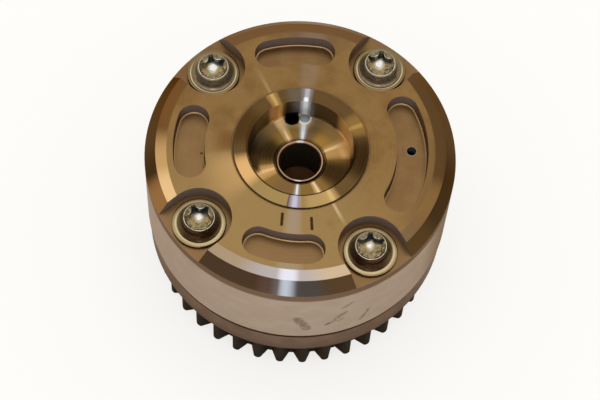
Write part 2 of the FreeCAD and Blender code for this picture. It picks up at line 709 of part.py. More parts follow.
def cover_bolts():
    """Four plated flange bolts, cover to sprocket, with six-lobe sockets in dished heads."""
    body = new_body("cover_bolts", "bolt_angle")
    end = f"({SLOT_LEVEL} - bolt_length)"
    tip = "(thread_radius - thread_fit)"
    bolt = revolve(body, "bolt", [
        ("0", end),
        (f"{tip} - edge_break * 2", end),
        (tip, f"{end} + edge_break * 2"),
        (tip, SLOT_LEVEL),
        ("flange_radius - edge_break", SLOT_LEVEL),
        ("flange_radius", f"{SLOT_LEVEL} + edge_break"),
        ("flange_radius", f"{SLOT_LEVEL} + flange_height - edge_break"),
        ("flange_radius - edge_break", f"{SLOT_LEVEL} + flange_height"),
        ("flange_rim", f"{SLOT_LEVEL} + flange_height"),
        ("(flange_rim + head_radius * 2) / 3", f"{SLOT_LEVEL} + (flange_height + head_neck) / 2"),
        ("head_radius", f"{SLOT_LEVEL} + head_neck"),
        ("head_radius", f"{SLOT_LEVEL} + head_height - head_round * 1.3"),
        ("head_radius - head_round * 0.3", f"{SLOT_LEVEL} + head_height - head_round * 0.4"),
        ("head_radius - head_round", f"{SLOT_LEVEL} + head_height"),
        ("dish_radius", f"{SLOT_LEVEL} + head_height - dish_depth"),
        ("0", f"{SLOT_LEVEL} + head_height - dish_depth"),
    ], across=BOLT_CIRCLE)
    sketch = new_sketch(body, "socket_outline", level=f"{SLOT_LEVEL} + head_height")
    draw_six_lobe(sketch, BOLT_CIRCLE)
    socket = pocket(body, "socket", sketch, "socket_depth")
    repeat(body, "bolts", [bolt, socket], BOLT_RUN, "4")
    return body


def lock_pin():
    """Hardened pin with a collar that oil lifts, hollow for its spring."""
    body = new_body("lock_pin", "pin_angle")
    revolve(body, "pin", [
        ("0", PIN_END),
        ("pin_radius - pin_nose_chamfer", PIN_END),
        ("pin_radius", f"{PIN_END} + pin_nose_chamfer"),
        ("pin_radius", COLLAR_REAR),
        ("collar_radius", COLLAR_REAR),
        ("collar_radius", f"{COLLAR_REAR} + collar_height"),
        ("pin_hollow", f"{COLLAR_REAR} + collar_height"),
        ("pin_hollow", SPRING_FLOOR),
        ("0", SPRING_FLOOR),
    ], across=PIN_CIRCLE)
    return body


def lock_pin_bush():
    """Hardened ring pressed into the sprocket, which the pin drops into when the rotor is parked."""
    body = new_body("lock_pin_bush", "pin_angle")
    hole = "(pin_radius + bush_clearance)"
    revolve(body, "bush", [
        (hole, f"{PLATE_FACE} - bush_height"),
        ("bush_radius", f"{PLATE_FACE} - bush_height"),
        ("bush_radius", PLATE_FACE),
        (f"{hole} + edge_break", PLATE_FACE),
        (hole, f"{PLATE_FACE} - edge_break"),
    ], across=PIN_CIRCLE)
    return body


def lock_pin_cap():
    """Plug that closes the pin's bore under the cover, with a spigot for the spring and an air hole."""
    body = new_body("lock_pin_cap", "pin_angle")
    rim = f"({COLLAR_BORE} - press_gap)"
    revolve(body, "cap", [
        ("vent_radius", f"{CAP_REAR} - cap_boss_height"),
        ("cap_boss_radius", f"{CAP_REAR} - cap_boss_height"),
        ("cap_boss_radius", CAP_REAR),
        (rim, CAP_REAR),
        (rim, CAP_FRONT),
        ("vent_radius", CAP_FRONT),
    ], across=PIN_CIRCLE)
    return body


def lock_pin_spring():
    """Coil spring between the bottom of the pin's hollow and the cap."""
    body = new_body("lock_pin_spring", "pin_angle")
    sketch = new_sketch(body, "wire_circle", "XZ_Plane", across=PIN_CIRCLE)
    draw_circle(sketch, "spring_radius", f"{SPRING_FLOOR} + spring_wire", "spring_wire")
    coil = body.newObject("PartDesign::AdditiveHelix", "coil")
    coil.Profile = sketch
    coil.ReferenceAxis = (sketch, ["V_Axis"])
    coil.Mode = "height-turns-angle"
    bind(coil, "Height", f"{CAP_REAR} - {SPRING_FLOOR} - spring_wire * 2")
    bind(coil, "Turns", "spring_turns")
    doc.recompute()
    return body


def seal_strip(name, turn, tip, back, outwards):
    """A flat strip with a bevelled tip, as high as the stator less its end gaps."""
    body = new_body(name, turn)
    sketch = new_sketch(body, "strip_outline", level=f"{PLATE_FACE} + seal_end_gap")
    shoulder = f"{tip} - ({outwards}) * seal_tip_chamfer"
    half = "(seal_width / 2)"
    draw_polygon(sketch, [
        (back, f"-{half}"),
        (shoulder, f"-{half}"),
        (tip, f"-({half} - seal_tip_chamfer)"),
        (tip, f"{half} - seal_tip_chamfer"),
        (shoulder, half),
        (back, half),
    ])
    pad(body, "strip", sketch, "stator_height - 2 * seal_end_gap")
    return body


def leaf_spring(name, turn, crest, outwards):
    """A thin bowed strip that bears on the back of a seal with its crest."""
    body = new_body(name, turn)
    sketch = new_sketch(body, "bow_outline", "XZ_Plane", level="-leaf_half_width")
    bow = "((leaf_half_length ^ 2 + leaf_sag ^ 2) / (2 * leaf_sag))"
    centre = f"({crest} - ({outwards}) * {bow})"
    middle = (number(centre), number(CHAMBER_CENTRE_LEVEL))
    facing = 0 if outwards > 0 else 180
    arcs = []
    for radius in (bow, f"({bow} - leaf_thickness)"):
        half = math.degrees(math.asin(number("leaf_half_length") / number(radius)))
        arc = add_arc(sketch, middle, number(radius), facing - half, facing + half)
        measure(sketch, "DistanceX", arc, 3, centre)
        measure(sketch, "DistanceY", arc, 3, CHAMBER_CENTRE_LEVEL)
        set_radius(sketch, arc, radius)
        measure(sketch, "DistanceY", arc, 1, f"{CHAMBER_CENTRE_LEVEL} - ({outwards}) * leaf_half_length")
        measure(sketch, "DistanceY", arc, 2, f"{CHAMBER_CENTRE_LEVEL} + ({outwards}) * leaf_half_length")
        arcs.append(arc)
    for point in (1, 2):
        ends = [sketch.getPoint(arc, point) for arc in arcs]
        side = add_line(sketch, (ends[0].x, ends[0].y), (ends[1].x, ends[1].y))
        join(sketch, side, 1, arcs[0], point)
        join(sketch, side, 2, arcs[1], point)
    pad(body, "bow", sketch, "leaf_half_width * 2")
    return body


def vane_turns():
    """Where the four vanes carry their seals: the wide vane first, then the others in order."""
    return [WIDE_SEAL] + [f"({VANE_MIDDLE} + {step} * bolt_spacing)" for step in range(3)]


def shoe_turns():
    return [f"(bolt_angle + {step} * bolt_spacing)" for step in range(4)]


def seals_and_springs():
    """A strip and a leaf spring in each vane tip, and in each shoe of the stator."""
    bodies = []
    for place, turn in enumerate(vane_turns(), start=1):
        bodies.append(seal_strip(f"vane_seal_{place}", turn, VANE_SEAL_TIP, VANE_SEAL_BACK, 1))
        bodies.append(leaf_spring(f"vane_seal_spring_{place}", turn, VANE_SEAL_BACK, 1))
    for place, turn in enumerate(shoe_turns(), start=1):
        bodies.append(seal_strip(f"shoe_seal_{place}", turn, SHOE_SEAL_TIP, SHOE_SEAL_BACK, -1))
        bodies.append(leaf_spring(f"shoe_seal_spring_{place}", turn, SHOE_SEAL_BACK, -1))
    return bodies


def centre_sleeve():
    """Thin steel sleeve in the centre bore, which keeps the two oil feeds apart round the bolt."""
    body = new_body("centre_sleeve")
    outer = "(centre_bore - press_gap)"
    inner = f"({outer} - sleeve_wall)"
    top = f"({RECESS_FLOOR} - sleeve_drop)"
    revolve(body, "sleeve", [
        (inner, SEAT_FACE),
        (outer, SEAT_FACE),
        (outer, f"{top} - sleeve_round"),
        (f"{outer} - sleeve_round", top),
        (f"{inner} + sleeve_round", top),
        (inner, f"{top} - sleeve_round"),
    ])
    return body


def dowel_pin():
    """Straight pin through a shoe of the stator, blind in the cover and in the sprocket."""
    body = new_body("dowel_pin", "dowel_angle")
    rear = f"({DOWEL_REAR} + dowel_fit)"
    front = f"({DOWEL_FRONT} - dowel_fit)"
    revolve(body, "pin", [
        ("0", rear),
        ("dowel_radius - dowel_chamfer", rear),
        ("dowel_radius", f"{rear} + dowel_chamfer"),
        ("dowel_radius", f"{front} - dowel_chamfer"),
        ("dowel_radius - dowel_chamfer", front),
        ("0", front),
    ], across=DOWEL_CIRCLE)
    return body


pieces = [
    front_cover(),
    stator_housing(),
    rotor(),
    sprocket(),
    cover_bolts(),
    lock_pin(),
    lock_pin_bush(),
    lock_pin_cap(),
    lock_pin_spring(),
    centre_sleeve(),
    dowel_pin(),
    *seals_and_springs(),
]
doc.recompute()

for thing in doc.Objects:
    if {"Invalid", "Error"} & set(thing.State):
        raise RuntimeError(f"{thing.Name} failed: {thing.State}")
os.makedirs("parts", exist_ok=True)
for piece in pieces:
    piece.Label = piece.Name
    shape = piece.Shape
    if shape.isNull() or not shape.isValid() or not shape.Solids:
        raise RuntimeError(f"{piece.Label} has no sound solid")
    shape.exportStep(f"parts/{piece.Label}.step")
    print(f"{piece.Label}: {len(shape.Solids)} solid, {shape.Volume:.1f} cubic mm")
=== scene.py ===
import math
from types import SimpleNamespace

import bmesh
import bpy
from mathutils import Matrix, Vector


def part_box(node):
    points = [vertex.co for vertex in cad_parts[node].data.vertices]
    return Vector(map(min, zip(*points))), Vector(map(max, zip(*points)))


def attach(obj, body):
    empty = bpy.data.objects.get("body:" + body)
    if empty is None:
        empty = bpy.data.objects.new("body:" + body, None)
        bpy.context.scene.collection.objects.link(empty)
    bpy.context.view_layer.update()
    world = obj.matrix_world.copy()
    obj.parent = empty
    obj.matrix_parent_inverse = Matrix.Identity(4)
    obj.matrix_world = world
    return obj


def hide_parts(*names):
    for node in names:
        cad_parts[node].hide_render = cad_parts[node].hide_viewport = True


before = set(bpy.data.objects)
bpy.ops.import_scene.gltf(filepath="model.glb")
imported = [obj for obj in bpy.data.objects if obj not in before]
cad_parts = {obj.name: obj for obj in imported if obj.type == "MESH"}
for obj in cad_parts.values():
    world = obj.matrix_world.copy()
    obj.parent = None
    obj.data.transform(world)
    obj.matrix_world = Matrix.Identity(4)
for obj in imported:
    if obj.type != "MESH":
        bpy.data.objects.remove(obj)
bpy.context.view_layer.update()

# Chain wheel with its rear plate: pressed and sintered steel in one piece, with teeth
# that hardening has left black. The plate above them is ground to size on its rim, and
# its journal, which turns on the camshaft, is bored bright and painted lighter still,
# as painted light inside the dark bore.


class Value:
    """A shader value. Sums, products and powers of values add the Math nodes for them."""

    def __init__(self, tree, socket=None):
        self.tree, self.socket = tree, socket

    def node(self, kind, settings=None, inputs=None, output=0):
        """Adds a node of that kind, its settings first, and gives the value of one output."""
        made = self.tree.nodes.new(kind)
        for name, setting in (settings or {}).items():
            setattr(made, name, setting)
        for key, given in (inputs or {}).items():
            if isinstance(given, Value):
                self.tree.links.new(given.socket, made.inputs[key])
            else:
                made.inputs[key].default_value = given
        return Value(self.tree, made.outputs[output])

    def math(self, operation, *given):
        """A Math node on the given values alone, so this value counts only where it is one of them."""
        return self.node("ShaderNodeMath", {"operation": operation}, dict(enumerate(given)))

    def __add__(self, other):
        return self.math("ADD", self, other)

    def __mul__(self, other):
        return self.math("MULTIPLY", self, other)

    def __sub__(self, other):
        return self.math("SUBTRACT", self, other)

    def __rsub__(self, other):
        return self.math("SUBTRACT", other, self)

    def __truediv__(self, other):
        return self.math("DIVIDE", self, other)

    def __pow__(self, power):
        return self.math("POWER", self, power)

    __radd__, __rmul__ = __add__, __mul__

    def rise(self, low, high):
        """0 at low and 1 at high, with a soft change between. Low may be the greater one."""
        return self.node("ShaderNodeMapRange", {"interpolation_type": "SMOOTHSTEP"},
                         {"Value": self, "From Min": low, "From Max": high})

    def between(self, low, high, soft):
        """1 from low to high, fading to 0 over a soft edge at each end."""
        return self.rise(low - soft, low + soft) * self.rise(high + soft, high - soft)

    def noise(self, along, detail=3.0, rough=0.55):
        """Noise from 0 to 1 along a list of one or three values."""
        if len(along) == 1:
            return self.node("ShaderNodeTexNoise", {"noise_dimensions": "1D"},
                             {"W": along[0], "Scale": 1.0, "Detail": detail, "Roughness": rough})
        place = self.node("ShaderNodeCombineXYZ", None, dict(enumerate(along)))
        return self.node("ShaderNodeTexNoise", None,
                         {"Vector": place, "Scale": 1.0, "Detail": detail, "Roughness": rough})

    def paint(self, under, over):
        """The colour under where this value is 0, and the colour over where it is 1."""
        return self.node("ShaderNodeMix", {"data_type": "RGBA"}, {0: self, 6: under, 7: over}, 2)


def tone(red, green, blue):
    """A colour from its shares of 255, as the shader wants it."""
    shares = (c / 255 for c in (red, green, blue))
    return tuple(c / 12.92 if c < 0.04 else ((c + 0.055) / 1.055) ** 2.4 for c in shares) + (1.0,)


MM_PER_METRE = 1000.0


def new_finish(name, level, metallic=1.0, roughness=0.3, anisotropic=0.0):
    """Starts a finish: its shader, and a point's place in mm with heights from a level in metres."""
    material = bpy.data.materials.new(name)
    material.use_nodes = True
    tree = material.node_tree
    shader = tree.nodes["Principled BSDF"]
    shader.inputs["Metallic"].default_value = metallic
    shader.inputs["Roughness"].default_value = roughness
    shader.inputs["Anisotropic"].default_value = anisotropic
    shader.inputs["Specular IOR Level"].default_value = 0.3
    shader.inputs["Specular Tint"].default_value = tone(190, 170, 150)
    start = Value(tree)
    place = start.node("ShaderNodeTexCoord", output="Object")
    metres = [start.node("ShaderNodeSeparateXYZ", None, {0: place}, axis) for axis in (0, 1, 2)]
    x, y, z = (along * MM_PER_METRE for along in metres)
    facing = start.node("ShaderNodeNewGeometry", output="Normal")
    aside, slope = (start.node("ShaderNodeSeparateXYZ", None, {0: facing}, axis) for axis in (1, 2))
    return SimpleNamespace(material=material, shader=shader, start=start, x=x, y=y,
                           z=z - level * MM_PER_METRE, r=(x * x + y * y) ** 0.5,
                           aside=aside, slope=slope)


def set_looks(finish, **looks):
    """Links what varies over the surface to the shader: its colour, roughness, metallic and relief."""
    links = finish.start.tree.links
    for name, value in looks.items():
        if name == "relief":
            height, depth = value
            value = finish.start.node("ShaderNodeBump", None, {
                "Strength": 1.0, "Distance": depth / MM_PER_METRE, "Height": height})
            name = "normal"
        socket = finish.shader.inputs["Base Color" if name == "colour" else name.title()]
        links.new(value.socket, socket)


def wear(finish, *nodes):
    """Puts a finish on every face of CAD nodes, whose meshes stay as they are."""
    for node in nodes:
        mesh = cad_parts[node].data
        mesh.materials.clear()
        mesh.materials.append(finish.material)


plate_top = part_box("sprocket")[1][2]
sintered = new_finish("sintered_steel", plate_top, 0.9, 0.5)
x, y, z = sintered.x, sintered.y, sintered.z
grain = sintered.start.noise([x * 2.2, y * 2.2, z * 2.2], 4.0, 0.65)
blotch = sintered.start.noise([x * 0.2, y * 0.2, z * 0.2], 2.0)
black = grain.rise(0.3, 0.75).paint(tone(38, 38, 37), tone(68, 67, 64))
rim = blotch.rise(0.3, 0.7).paint(tone(116, 99, 90), tone(130, 112, 100))
lower_rim = z.rise(-6.0, -9.6)
rim = lower_rim.paint(rim, tone(110, 96, 88))
# Painted shade: a dark band along the top of the plate's rim, under the stator, where the joint lies in
# shade.
seam_shade = z.rise(-1.9, -1.6)
rim = seam_shade.paint(rim, tone(56, 38, 28))
polished = z.rise(-10.3, -9.9)
# Painted light: the journal is coloured far lighter than bored steel and made less metallic, standing in
# for light that hardly reaches the bore.
journal = sintered.r.rise(16.4, 16.2)
colour = journal.paint(polished.paint(black, rim), tone(238, 182, 126))
set_looks(sintered, colour=colour, metallic=0.9 - 0.8 * journal,
          roughness=0.44 - 0.14 * polished + 0.12 * grain, relief=(grain, 0.03))
wear(sintered, "sprocket")

# Stator housing: a sintered steel ring whose four chambers hold the vanes. Its outside
# is ground to a dull pale skin, with a few dark rub marks on one side.


def stroke(across, up, start, end, width):
    """1 on a straight line between two places, fading to 0 at a width from it."""
    run, climb = end[0] - start[0], end[1] - start[1]
    along = ((across - start[0]) * run + (up - start[1]) * climb) / (run * run + climb * climb)
    along = along.math("MINIMUM", along.math("MAXIMUM", along, 0.0), 1.0)
    miss = (across - start[0] - along * run, up - start[1] - along * climb)
    return ((miss[0] * miss[0] + miss[1] * miss[1]) ** 0.5).rise(width, width * 0.4)


ground = new_finish("ground_steel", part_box("stator_housing")[1][2], 0.85, 0.45)
x, y, z = ground.x, ground.y, ground.z
skin = ground.start.noise([x * 0.16, y * 0.16, z * 0.3], 4.0, 0.6)
lines = ground.start.noise([z * 4.0 + ground.r * 3.0], 2.0)
colour = skin.rise(0.3, 0.72).paint(tone(177, 160, 144), tone(184, 168, 153))
colour = (lines.rise(0.3, 0.8) * 0.12).paint(colour, tone(150, 130, 114))
# Painted shade: the housing darker towards its right side, a painted dark reflection.
right_side_shade = (x / ground.r).rise(0.8, 0.99)
colour = right_side_shade.paint(colour, tone(128, 104, 78))
smear = ground.start.noise([x * 1.1 + z * 0.4, y * 0.4, z * 0.6 - x * 0.3], 4.0, 0.7).rise(0.3, 0.56)
near_side = y.rise(0.0, -5.0)
# Each rub mark: where it starts and ends, across and up in mm from the middle of the top
# edge, then its width in mm and its strength.
rubs = [((2.4, -12.0), (4.8, -18.0), 1.9, 0.65), ((10.2, -16.8), (12.2, -15.0), 0.8, 0.7),
        ((12.6, -13.6), (15.0, -11.0), 0.9, 0.6), ((14.2, -7.6), (16.4, -5.6), 0.8, 0.5),
        ((19.4, -19.4), (21.2, -14.6), 0.7, 0.6), ((13.2, -16.0), (14.4, -14.8), 0.6, 0.4)]
for start, end, width, strength in rubs:
    rub = stroke(x, z, start, end, width) * smear * near_side * strength
    colour = rub.paint(colour, tone(98, 82, 72))
# Painted shade: dark bands along the top and bottom edges, where the joints with the cover and the plate
# lie in shade.
upper_edge_shade = z.rise(-0.5, -0.1)
colour = (upper_edge_shade * 0.6).paint(colour, tone(96, 72, 54))
lower_edge_shade = z.rise(-23.25, -23.5)
colour = lower_edge_shade.paint(colour, tone(84, 62, 48))
set_looks(ground, colour=colour, roughness=0.42 + 0.1 * skin, relief=(lines, 0.002))
wear(ground, "stator_housing")

# Rotor: a sintered steel hub with four vanes. Its nose stands a little proud of the
# cover, and is turned bright with the recess that takes the centre bolt's head.


def lobe(finish, angle, width):
    """1 in one direction from the axis, fading to 0 at a width of degrees either side."""
    turn = math.radians(angle)
    along = (finish.x * math.cos(turn) + finish.y * math.sin(turn)) / finish.r
    return along.rise(math.cos(math.radians(width)), 1.0)


def sheen(finish, colour, *lobes):
    """Paints light and dark sectors round the axis, as painted highlights and painted reflections: each an
    angle, a width and a tone.
    """
    for angle, width, shade in lobes:
        colour = lobe(finish, angle, width).paint(colour, tone(*shade))
    return colour


def off_axis(finish, radius, angle):
    """How far a point is, in mm, from the line along the axis at a radius and an angle."""
    turn = math.radians(angle)
    across, up = finish.x - radius * math.cos(turn), finish.y - radius * math.sin(turn)
    return (across * across + up * up) ** 0.5


HOLE_CIRCLE = 13.3
cover_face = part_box("front_cover")[1][2]
turned = new_finish("turned_rotor", cover_face, 1.0, 0.3, 0.4)
r, z = turned.r, turned.z
dowel = off_axis(turned, HOLE_CIRCLE, 103.0)
dimple = off_axis(turned, HOLE_CIRCLE, 88.0)
# Painted highlights and reflections: light and dark sectors round the axis on the nose ring, the recess
# wall and the recess floor.
ring = sheen(turned, tone(98, 74, 42),
             (352, 28, (50, 31, 10)), (28, 15, (142, 110, 56)), (26.5, 3, (174, 140, 76)),
             (96, 14, (106, 92, 76)), (87.6, 7, (134, 128, 130)), (87.5, 3.2, (178, 178, 186)),
             (120.5, 7, (164, 130, 74)), (120.4, 2.4, (200, 164, 96)), (162, 26, (78, 52, 22)),
             (250, 56, (158, 132, 82)), (209, 20, (222, 176, 114)), (287, 12, (174, 144, 92)),
             (300, 11, (182, 150, 96)), (302, 3, (208, 174, 118)), (262.3, 1.6, (82, 62, 66)),
             (268, 7, (156, 146, 152)), (267.8, 3.4, (190, 184, 206)))
wall = sheen(turned, tone(58, 43, 22),
             (28, 24, (218, 168, 102)), (62, 16, (76, 57, 32)), (91, 16, (100, 98, 102)),
             (88.2, 7, (186, 192, 204)), (88.2, 3.4, (226, 234, 246)), (121, 13, (172, 126, 70)),
             (116.5, 4, (206, 162, 98)), (142, 14, (84, 66, 28)), (168, 18, (36, 25, 10)))
floor = sheen(turned, tone(134, 103, 52),
              (165, 34, (46, 30, 10)), (343, 30, (54, 34, 11)), (24, 19, (182, 142, 84)),
              (28, 4, (222, 190, 134)), (50, 16, (160, 122, 58)), (76, 12, (116, 92, 60)),
              (88.2, 9, (156, 156, 160)), (88.2, 4.5, (222, 226, 234)), (118.5, 10, (190, 154, 100)),
              (118.5, 3.2, (230, 200, 146)), (204, 15, (196, 150, 92)), (203, 4, (222, 184, 126)),
              (248, 26, (126, 95, 58)), (268.4, 7, (156, 144, 130)), (268.4, 2.8, (226, 228, 236)),
              (301, 7, (190, 156, 104)), (302, 3, (232, 202, 156)))
# Painted shade on the floor's left edge, and painted light: a highlight on the right, the floor's far side
# lightened, and a highlight round the dimple.
floor = (lobe(turned, 190, 17) * r.rise(10.4, 12.0)).paint(floor, tone(52, 34, 12))
floor = (lobe(turned, 20, 15) * r.rise(10.4, 12.4) * 0.8).paint(floor, tone(220, 180, 120))
far_floor_lit = r.rise(9.2, 12.6) * turned.y.rise(2.0, 9.0)
floor = (far_floor_lit * (0.14 + 0.5 * lobe(turned, 98, 26))).paint(floor, tone(255, 226, 170))
floor = (far_floor_lit * lobe(turned, 119, 8) * 0.9).paint(floor, tone(255, 228, 180))
floor = (dimple.between(1.4, 2.0, 0.2) * turned.y.rise(14.6, 13.0)).paint(floor, tone(244, 250, 250))
# The floor painted near-black in a ragged ring round the dowel hole.
ragged_noise = turned.start.noise([turned.x * 1.6, turned.y * 1.6, z], 2.0)
floor = (dowel + ragged_noise * 1.2).rise(2.95, 2.6).paint(floor, tone(22, 18, 14))
# Painted light: the camshaft seat coloured light and the rear made non-metallic, standing in for light
# that hardly reaches the bore.
rear = z.rise(-16.0, -18.0)
camshaft_seat_lit = r.rise(16.5, 15.9) * rear
colour = camshaft_seat_lit.paint(tone(112, 90, 70), tone(176, 150, 120))
# Painted light: the bore's mouth round the sleeve coloured mid-brown and made less metallic, so that the
# gap there doesn't render black.
bore = z.rise(-9.4, -8.9) * r.rise(7.6, 7.4)
colour = bore.paint(colour, tone(96, 74, 48))
on_floor = z.rise(-8.6, -8.0) * r.rise(6.6, 6.9)
colour = on_floor.paint(colour, floor)
above_floor = z.rise(-7.79, -7.65)
colour = above_floor.paint(colour, wall)
# Painted reflection: the inside of the dimple a pale bluish grey.
dimple_reflection = dimple.rise(1.3, 1.1) * z.rise(-7.0, -7.4)
colour = dimple_reflection.paint(colour, tone(156, 172, 178))
# Painted shade: the inside of the dowel hole near-black.
dowel_hole_shade = dowel.rise(1.98, 1.9) * z.rise(-6.0, -6.6)
colour = dowel_hole_shade.paint(colour, tone(10, 8, 6))
on_nose = z.rise(-0.12, 0.0)
colour = on_nose.paint(colour, ring)
glint = off_axis(turned, 14.6, 88.0).rise(0.9, 0.3) * z.rise(-0.5, 0.0)
colour = glint.paint(colour, tone(244, 248, 252))
outer = r.rise(17.86, 17.92)
# Painted shade: the nose's outer wall near-black below its edge, in the gap to the cover.
gap_shade = outer * z.rise(-0.5, -0.9)
colour = gap_shade.paint(colour, tone(40, 28, 16))
rings = turned.start.noise([r * 5.0 + z * 3.0], 3.0)
colour = (rings.rise(0.4, 0.8) * 0.07).paint(colour, tone(214, 186, 140))
recess_wall = z.between(-7.7, -0.3, 0.1) * r.rise(14.9, 14.6)
recess_floor = z.between(-9.4, -7.75, 0.05)
dull = recess_wall * 0.6 + outer * 0.7 + recess_floor * (far_floor_lit * 0.6 + r.rise(7.2, 6.9) * 0.6)
set_looks(turned, colour=colour, metallic=1.0 - dull - rear, roughness=0.26 + 0.1 * rings,
          relief=(rings, 0.002))
wear(turned, "rotor")

# Sleeve in the centre bore: a short drawn steel tube that guides the centre bolt. It is
# pressed in from the front, with its rounded lip level with the recess floor.

drawn = new_finish("drawn_tube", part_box("centre_sleeve")[1][2], 1.0, 0.28, 0.4)
streaks = drawn.start.noise([drawn.x * 3.0, drawn.y * 3.0, drawn.z * 0.3], 3.0)
lip = streaks.rise(0.3, 0.8).paint(tone(168, 132, 106), tone(190, 156, 128))
# Painted highlights at 93 and 268 degrees and a darker sector at 180 on the lip.
lip = sheen(drawn, lip, (93, 12, (226, 218, 214)), (268, 12, (226, 214, 204)), (180, 40, (150, 116, 88)))
# Painted shade: below the lip the tube is dark inside and out, where it lies deep in the bore.
inner = drawn.z.rise(-0.15, -0.8)
colour = inner.paint(lip, tone(54, 48, 38))
outer_wall = drawn.r.rise(6.25, 6.4)
colour = outer_wall.paint(colour, tone(64, 44, 28))
set_looks(drawn, colour=colour, metallic=1.0 - 0.7 * inner, roughness=0.24 + 0.1 * streaks,
          relief=(streaks, 0.002))
wear(drawn, "centre_sleeve")

# Lock pin with its bush and cap, and the dowel pin: hardened steel, ground all over.
# The pin slides in the wide vane and drops into the bush in the rear plate.

hard = new_finish("hardened_steel", plate_top, 1.0, 0.24)
polish = hard.start.noise([hard.x * 1.5, hard.y * 1.5, hard.z * 9.0], 3.0)
colour = polish.rise(0.25, 0.8).paint(tone(150, 146, 138), tone(188, 184, 176))
set_looks(hard, colour=colour, roughness=0.2 + 0.14 * polish, relief=(polish, 0.003))
wear(hard, "lock_pin", "lock_pin_bush", "lock_pin_cap", "dowel_pin")

# Springs: a coil of round wire behind the lock pin, and a flat leaf behind each seal.
# Both are bright spring steel, blued a little by its tempering.

spring_nodes = ["lock_pin_spring"] + [
    f"{place}_seal_spring_{number}" for place in ("vane", "shoe") for number in (1, 2, 3, 4)]
tempered = new_finish("tempered_wire", plate_top, 1.0, 0.26)
heat = tempered.start.noise([tempered.x * 0.9, tempered.y * 0.9, tempered.z * 0.9], 3.0)
colour = heat.rise(0.3, 0.75).paint(tone(118, 120, 128), tone(166, 158, 146))
set_looks(tempered, colour=colour, roughness=0.22 + 0.14 * heat, relief=(heat, 0.002))
wear(tempered, *spring_nodes)

# Seal strips: moulded bars of filled plastic in the vane tips and the stator's shoes.
# The leaves press them out against the wall that they wipe.

seal_nodes = [f"{place}_seal_{number}" for place in ("vane", "shoe") for number in (1, 2, 3, 4)]
moulded = new_finish("filled_plastic", plate_top, 0.0, 0.5)
filler = moulded.start.noise([moulded.x * 4.0, moulded.y * 4.0, moulded.z * 1.2], 4.0, 0.7)
colour = filler.rise(0.35, 0.75).paint(tone(52, 42, 34), tone(96, 80, 64))
set_looks(moulded, colour=colour, roughness=0.45 + 0.2 * filler, relief=(filler, 0.01))
wear(moulded, *seal_nodes)

# Front cover: a sintered steel disc whose face and two bevels are turned in one go; the sheen
# round it is painted highlight and reflection. Its kidney pockets and bolt slots keep a duller pressed
# skin.

cover = new_finish("turned_cover", cover_face, 1.0, 0.34, 0.4)
x, y, z, r = cover.x, cover.y, cover.z, cover.r
rings = cover.start.noise([r * 4.0 + z * 6.0], 3.0)
stain = cover.start.noise([x * 0.12, y * 0.12, z * 0.12], 5.0, 0.6)
face = stain.rise(0.3, 0.7).paint(tone(124, 92, 52), tone(144, 112, 68))
# Painted light: the face lighter towards the near side.
face = (lobe(cover, 255, 100) * 0.95).paint(face, tone(155, 126, 80))
face = (stain.rise(0.52, 0.75) * 0.35).paint(face, tone(116, 84, 48))
# Painted highlight: a bright sector towards the left.
face = (lobe(cover, 207, 22) * r.rise(31, 19)).paint(face, tone(184, 148, 96))
specks = cover.start.noise([x * 1.4, y * 1.4, z * 1.4], 4.0, 0.75)
face = (specks.rise(0.56, 0.7) * 0.3).paint(face, tone(110, 78, 42))
# Painted highlights and reflections: dark and light sectors and thin bright rays round the axis.
face = (lobe(cover, 178, 12) * r.rise(25, 20) * 0.8).paint(face, tone(112, 76, 40))
face = (lobe(cover, 350, 34) * r.rise(31, 35) * 0.8).paint(face, tone(120, 90, 55))
face = (lobe(cover, 88, 20) * r.rise(32, 35) * 0.8).paint(face, tone(116, 90, 66))
face = (lobe(cover, 268.5, 7) * 0.45).paint(face, tone(172, 156, 144))
face = (lobe(cover, 88, 8) * 0.35).paint(face, tone(146, 128, 116))
face = (lobe(cover, 300.6, 1.6) * r.rise(27, 20) * 0.8).paint(face, tone(206, 178, 136))
face = (lobe(cover, 120, 1.8) * r.rise(29, 20) * 0.5).paint(face, tone(176, 146, 104))
timing_marks = [((-3.63, -20.1), (-3.66, -23.3)), ((4.07, -20.8), (4.4, -23.95))]
for start, end in timing_marks:
    face = stroke(x, y, start, end, 0.55).paint(face, tone(58, 34, 16))
# Painted highlights and reflections: light and dark sectors round the shallow and the steep bevel.
shallow = sheen(cover, tone(90, 64, 36),
                (100, 70, (116, 83, 51)), (165, 20, (116, 78, 40)), (194, 20, (196, 156, 101)),
                (206, 14, (230, 192, 138)), (240, 26, (164, 142, 116)), (284, 30, (192, 168, 140)),
                (266, 20, (172, 164, 162)), (268.5, 5, (214, 214, 226)), (318, 18, (120, 96, 66)),
                (338, 14, (130, 98, 58)))
steep = sheen(cover, tone(66, 48, 30),
              (28, 36, (94, 76, 62)), (90, 60, (130, 104, 76)), (89, 12, (156, 136, 122)),
              (168, 24, (90, 68, 50)), (206, 12, (150, 108, 66)), (250, 40, (74, 55, 40)),
              (262, 6, (88, 66, 56)), (268.5, 7, (104, 98, 98)), (268.7, 4, (184, 192, 202)),
              (278, 10, (74, 68, 64)), (292, 14, (86, 64, 40)), (320, 16, (86, 62, 34)))
pressed = stain.rise(0.3, 0.7).paint(tone(122, 91, 58), tone(137, 106, 69))
# Painted light: the pocket floors lighter towards the near side.
pressed = (lobe(cover, 250, 110) * 0.7).paint(pressed, tone(143, 112, 75))
pressed = stroke(x, y, (-25.94, -2.16), (-25.6, -6.2), 0.22).paint(pressed, tone(90, 62, 36))
pressed = off_axis(cover, 26.68, 183.9).rise(0.45, 0.2).paint(pressed, tone(50, 32, 18))
bare = r.rise(41.7, 41.9)
sides = cover.slope.rise(0.35, 0.15) * (1.0 - bare)
